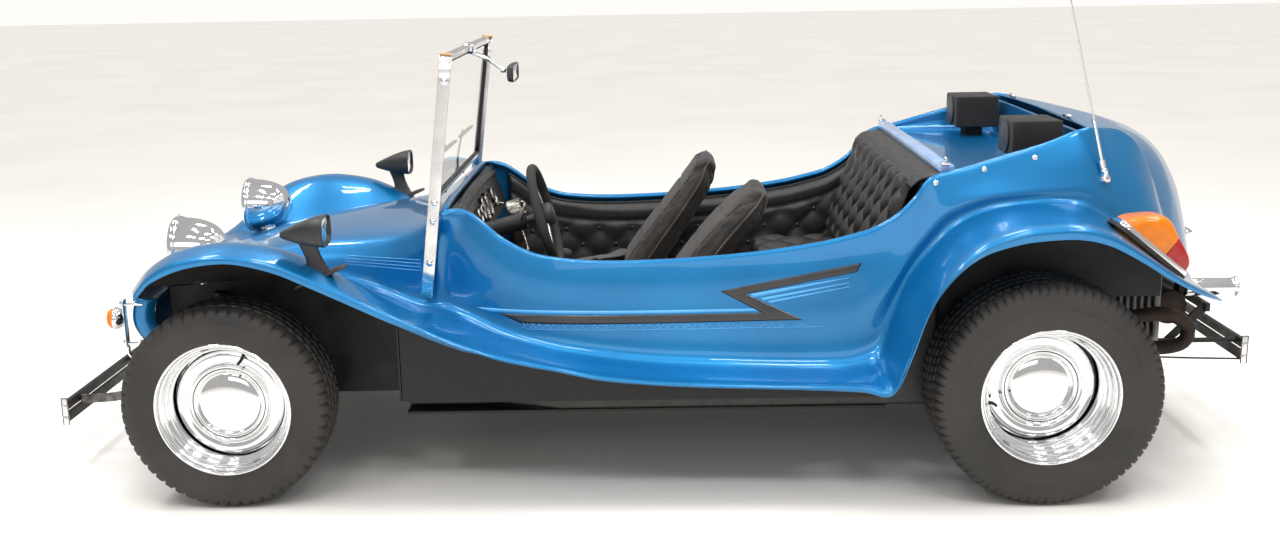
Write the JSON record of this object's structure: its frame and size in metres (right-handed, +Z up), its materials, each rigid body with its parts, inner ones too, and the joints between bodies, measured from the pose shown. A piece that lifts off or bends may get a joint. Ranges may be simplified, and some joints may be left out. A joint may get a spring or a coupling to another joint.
{
  "type": "dune buggy",
  "caption": "Open four-seat beach buggy with a moulded fibreglass body, steered front wheels, free-rolling wheels and a hinged engine lid.",
  "frame": {"origin": "on the ground at the middle of the outline, midway between the tip of the front bumper and the tip of the tail pipe", "axes": "+X forward, +Y to the driver's left, +Z up"},
  "size_m": [3.797, 1.7348, 1.5006],
  "materials": {
    "blue_gelcoat": "gloss metal-flake blue gelcoat on fibreglass, with a black side stripe and pale blue pinstripes",
    "chrome": "polished chrome plate",
    "polished_aluminium": "polished flat bar with fine scratches",
    "clear_glass": "clear laminated glass with a slight green edge",
    "lamp_glass": "fluted clear lamp glass",
    "amber_plastic": "ribbed translucent amber lens",
    "red_plastic": "ribbed translucent red lens",
    "black_paint": "satin black chassis paint with road dust",
    "black_plastic": "satin black moulded plastic",
    "black_rubber": "matte black rubber",
    "tyre_rubber": "matte tyre rubber with moulded tread and ribs",
    "seat_cloth": "faded black brushed cloth",
    "speaker_cloth": "black carpet cloth over chipboard",
    "black_vinyl": "button-tufted soft black vinyl",
    "belt_webbing": "woven black webbing",
    "foam_grip": "fine-pored black foam",
    "cast_steel": "dull forged steel",
    "engine_alloy": "dull cast alloy, oily",
    "exhaust_steel": "heat-stained dark brown steel with a chrome tip"
  },
  "bodies": {
    "chassis": {"body_nose": "blue_gelcoat", "body_side_left": "blue_gelcoat", "body_side_right": "blue_gelcoat", "luggage_tub": "blue_gelcoat", "dashboard": "black_vinyl", "gauges": "chrome", "windscreen_frame": "polished_aluminium", "windscreen_glass": "clear_glass", "wipers": "black_rubber", "interior_mirror": "black_plastic", "fender_mirrors": "black_plastic", "headlights": "chrome", "headlight_lenses": "lamp_glass", "lamp_housings": "chrome", "amber_lenses": "amber_plastic", "red_lenses": "red_plastic", "antenna": "chrome", "speakers": "speaker_cloth", "cross_bar": "blue_gelcoat", "floor_pan": "black_paint", "sills": "black_paint", "wheel_wells": "black_paint", "driver_seat": "seat_cloth", "passenger_seat": "seat_cloth", "bench_cushion": "black_vinyl", "bench_back": "black_vinyl", "side_trims": "black_vinyl", "seat_belts": "belt_webbing", "steering_column": "black_paint", "pedals": "black_rubber", "front_axle": "black_paint", "rear_axle": "black_paint", "engine": "engine_alloy", "exhaust": "exhaust_steel", "front_bumper": "black_paint", "rear_bumper": "black_paint"},
    "lid": {"engine_lid": "blue_gelcoat"},
    "left_knuckle": {"knuckle_left": "cast_steel"},
    "right_knuckle": {"knuckle_right": "cast_steel"},
    "track_rod": {"tie_rod": "cast_steel"},
    "hand_wheel": {"steering_wheel": "foam_grip"},
    "front_left_wheel": {"rim_front_left": "chrome", "tyre_front_left": "tyre_rubber"},
    "front_right_wheel": {"rim_front_right": "chrome", "tyre_front_right": "tyre_rubber"},
    "rear_left_wheel": {"rim_rear_left": "chrome", "tyre_rear_left": "tyre_rubber"},
    "rear_right_wheel": {"rim_rear_right": "chrome", "tyre_rear_right": "tyre_rubber"}
  },
  "joints": [
    {"name": "engine_lid_hinge", "type": "hinge", "parent": "chassis", "child": "lid", "pos_m": [-1.296, 0, 1.07], "axis": [0, 1, 0], "range_deg": [0, 55]},
    {"name": "steer_left", "type": "hinge", "parent": "chassis", "child": "left_knuckle", "pos_m": [1.25, 0.56, 0.308], "axis": [0, 0, 1], "range_deg": [-25, 25]},
    {"name": "steer_right", "type": "hinge", "parent": "chassis", "child": "right_knuckle", "pos_m": [1.25, -0.56, 0.308], "axis": [0, 0, 1], "range_deg": [-25, 25]},
    {"name": "steering_wheel_turn", "type": "hinge", "parent": "chassis", "child": "hand_wheel", "pos_m": [0.318, 0.33, 0.8], "axis": [-0.9673, 0, 0.2538], "range_deg": [-360, 360]},
    {"name": "track_rod_slide", "type": "slide", "parent": "chassis", "child": "track_rod", "axis": [0, 1, 0], "range_m": [-0.0505, 0.0505]},
    {"name": "front_left_wheel_spin", "type": "hinge", "parent": "left_knuckle", "child": "front_left_wheel", "pos_m": [1.25, 0.644, 0.308], "axis": [0, 1, 0], "continuous": true},
    {"name": "front_right_wheel_spin", "type": "hinge", "parent": "right_knuckle", "child": "front_right_wheel", "pos_m": [1.25, -0.644, 0.308], "axis": [0, 1, 0], "continuous": true},
    {"name": "rear_left_wheel_spin", "type": "hinge", "parent": "chassis", "child": "rear_left_wheel", "pos_m": [-1.15, 0.69, 0.331], "axis": [0, 1, 0], "continuous": true},
    {"name": "rear_right_wheel_spin", "type": "hinge", "parent": "chassis", "child": "rear_right_wheel", "pos_m": [-1.15, -0.69, 0.331], "axis": [0, 1, 0], "continuous": true}
  ],
  "couplings": [
    {"joint": "steer_right", "follows": "steer_left", "ratio": 1},
    {"joint": "steering_wheel_turn", "follows": "steer_left", "ratio": 14.4},
    {"joint": "track_rod_slide", "follows": "steer_left", "m_per_rad": -0.115}
  ]
}
